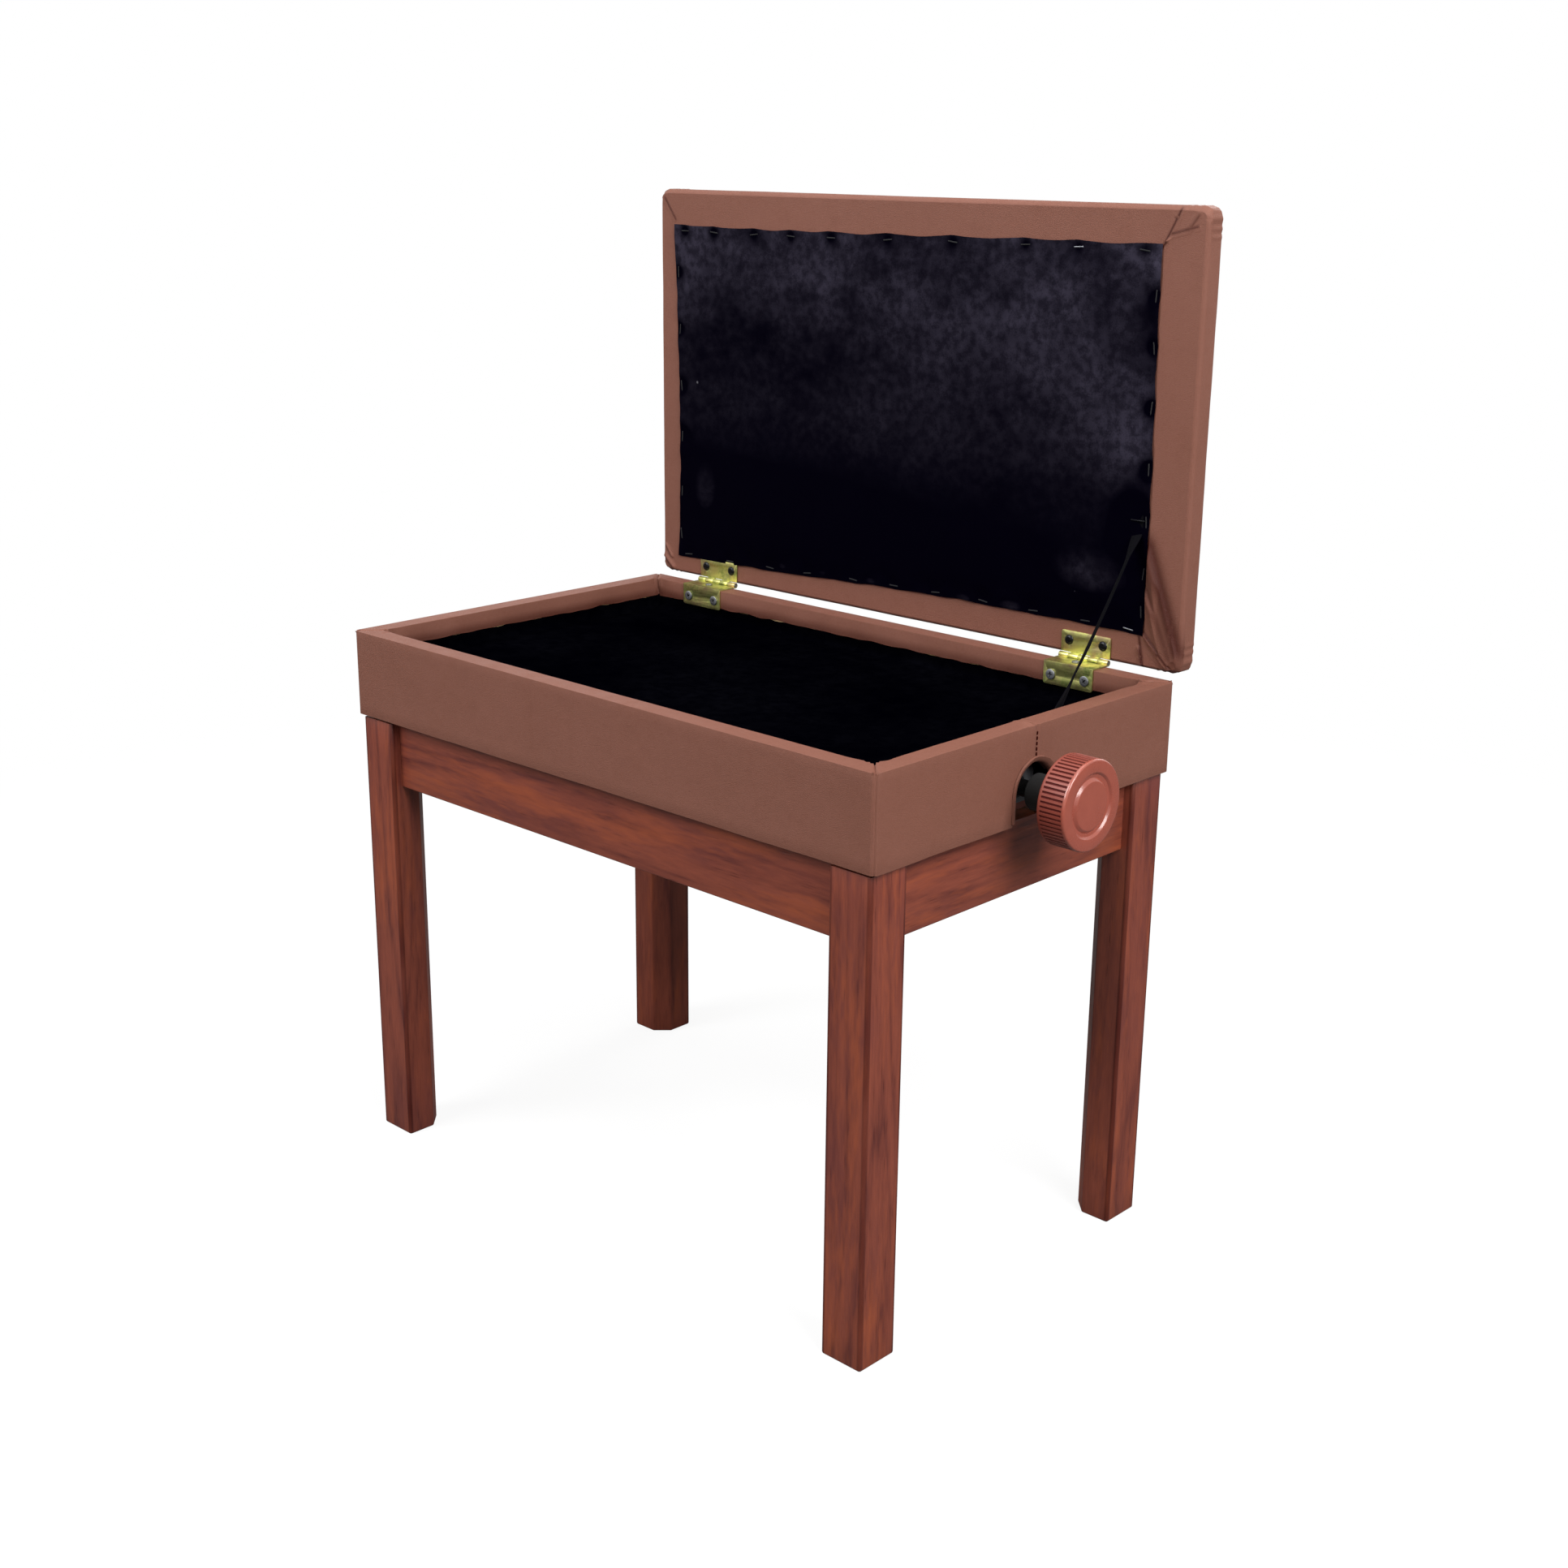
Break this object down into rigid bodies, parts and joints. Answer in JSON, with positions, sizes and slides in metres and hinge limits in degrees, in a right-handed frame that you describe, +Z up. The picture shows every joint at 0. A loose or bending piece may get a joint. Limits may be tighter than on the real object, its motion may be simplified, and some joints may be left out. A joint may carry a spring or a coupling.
{
  "type": "piano stool",
  "caption": "Rectangular padded stool on square wooden legs, with a hinged lid over a storage tray, a crossed-arm lift and a side knob that sets its height.",
  "frame": {"origin": "on the floor, under the middle of the whole outline with the lid open and the knob on", "axes": "+X to the knob's side along the seat, +Y to the hinged back, +Z up"},
  "size_m": [0.5976, 0.3702, 0.7615],
  "materials": {
    "mahogany": "satin lacquer over straight brown-red grain",
    "plywood": "raw",
    "leatherette": "soft sheen, fine grain",
    "lining": "matt non-woven",
    "tape": "woven",
    "foam": "open cell",
    "zinc_yellow": "yellow zinc plated",
    "black_screws": "black",
    "black_steel": "black enamel",
    "steel": "bright zinc",
    "nylon": "natural",
    "brass": "machined",
    "knob": "gloss moulded"
  },
  "bodies": {
    "base": {"leg_front_left": "mahogany", "leg_front_right": "mahogany", "leg_rear_left": "mahogany", "leg_rear_right": "mahogany", "rail_front": "mahogany", "rail_rear": "mahogany", "rail_left": "mahogany", "rail_right": "mahogany", "corner_block_front_left": "plywood", "corner_block_front_right": "plywood", "corner_block_rear_left": "plywood", "corner_block_rear_right": "plywood", "leg_bolts": "steel", "leg_nuts": "steel", "lower_channel_front": "steel", "lower_channel_rear": "steel", "lower_channel_screws": "steel", "base_pivot_rod": "steel"},
    "seat_box": {"board_front": "plywood", "board_rear": "plywood", "board_left": "plywood", "board_right": "plywood", "rim_cover": "leatherette", "tray_floor": "plywood", "tray_lining": "lining", "batten_front": "plywood", "batten_rear": "plywood", "upper_channel_front": "steel", "upper_channel_rear": "steel", "upper_channel_screws": "steel", "box_pivot_rod": "steel", "screw_bushes": "nylon", "screw_brackets": "black_steel", "bracket_screws": "steel", "hinge_rim_leaf_left": "zinc_yellow", "hinge_rim_leaf_right": "zinc_yellow", "hinge_pins": "steel", "hinge_rim_screws": "steel", "stay_tape": "tape", "stay_tack_box": "steel"},
    "lid": {"lid_board": "plywood", "lid_foam": "foam", "lid_cover": "leatherette", "lid_lining": "lining", "hinge_lid_leaf_left": "zinc_yellow", "hinge_lid_leaf_right": "zinc_yellow", "hinge_lid_screws": "black_screws", "stay_tack_lid": "steel"},
    "base_arms": {"base_arm_front": "black_steel", "base_arm_rear": "black_steel", "centre_rivets": "steel"},
    "box_arms": {"box_arm_front": "black_steel", "box_arm_rear": "black_steel"},
    "travelling_nut": {"travelling_nut": "brass", "upper_shafts": "steel", "upper_slide_blocks": "nylon"},
    "lower_shaft": {"lower_shaft": "steel", "lower_slide_blocks": "nylon"},
    "lead_screw": {"lead_screw": "steel", "knob": "knob"}
  },
  "joints": [
    {"name": "seat_lift", "type": "slide", "parent": "base", "child": "seat_box", "axis": [0, 0, 1], "range_m": [0, 0.09]},
    {"name": "lid_hinge", "type": "hinge", "parent": "seat_box", "child": "lid", "pos_m": [-0.02375, 0.14785, 0.4303], "axis": [1, 0, 0], "range_deg": [0, 90.7], "deforming": ["stay_tape"]},
    {"name": "base_arms_swing", "type": "hinge", "parent": "base", "child": "base_arms", "pos_m": [-0.17375, -0.02015, 0.346], "axis": [0, -1, 0], "range_deg": [0, 17.93]},
    {"name": "box_arms_swing", "type": "hinge", "parent": "seat_box", "child": "box_arms", "pos_m": [-0.17375, -0.02015, 0.381], "axis": [0, 1, 0], "range_deg": [0, 17.93]},
    {"name": "nut_travel", "type": "slide", "parent": "seat_box", "child": "travelling_nut", "axis": [-1, 0, 0], "range_m": [0, 0.02524]},
    {"name": "lower_shaft_travel", "type": "slide", "parent": "base", "child": "lower_shaft", "axis": [-1, 0, 0], "range_m": [0, 0.02524]},
    {"name": "knob_turn", "type": "hinge", "parent": "seat_box", "child": "lead_screw", "pos_m": [-0.02375, -0.02015, 0.381], "axis": [1, 0, 0], "range_deg": [0, 5191]}
  ],
  "couplings": [
    {"joint": "base_arms_swing", "follows": "seat_lift", "rad_per_m": 3.476},
    {"joint": "box_arms_swing", "follows": "seat_lift", "rad_per_m": 3.476},
    {"joint": "nut_travel", "follows": "seat_lift", "ratio": 0.28037},
    {"joint": "lower_shaft_travel", "follows": "seat_lift", "ratio": 0.28037},
    {"joint": "knob_turn", "follows": "seat_lift", "rad_per_m": 1006.6}
  ]
}
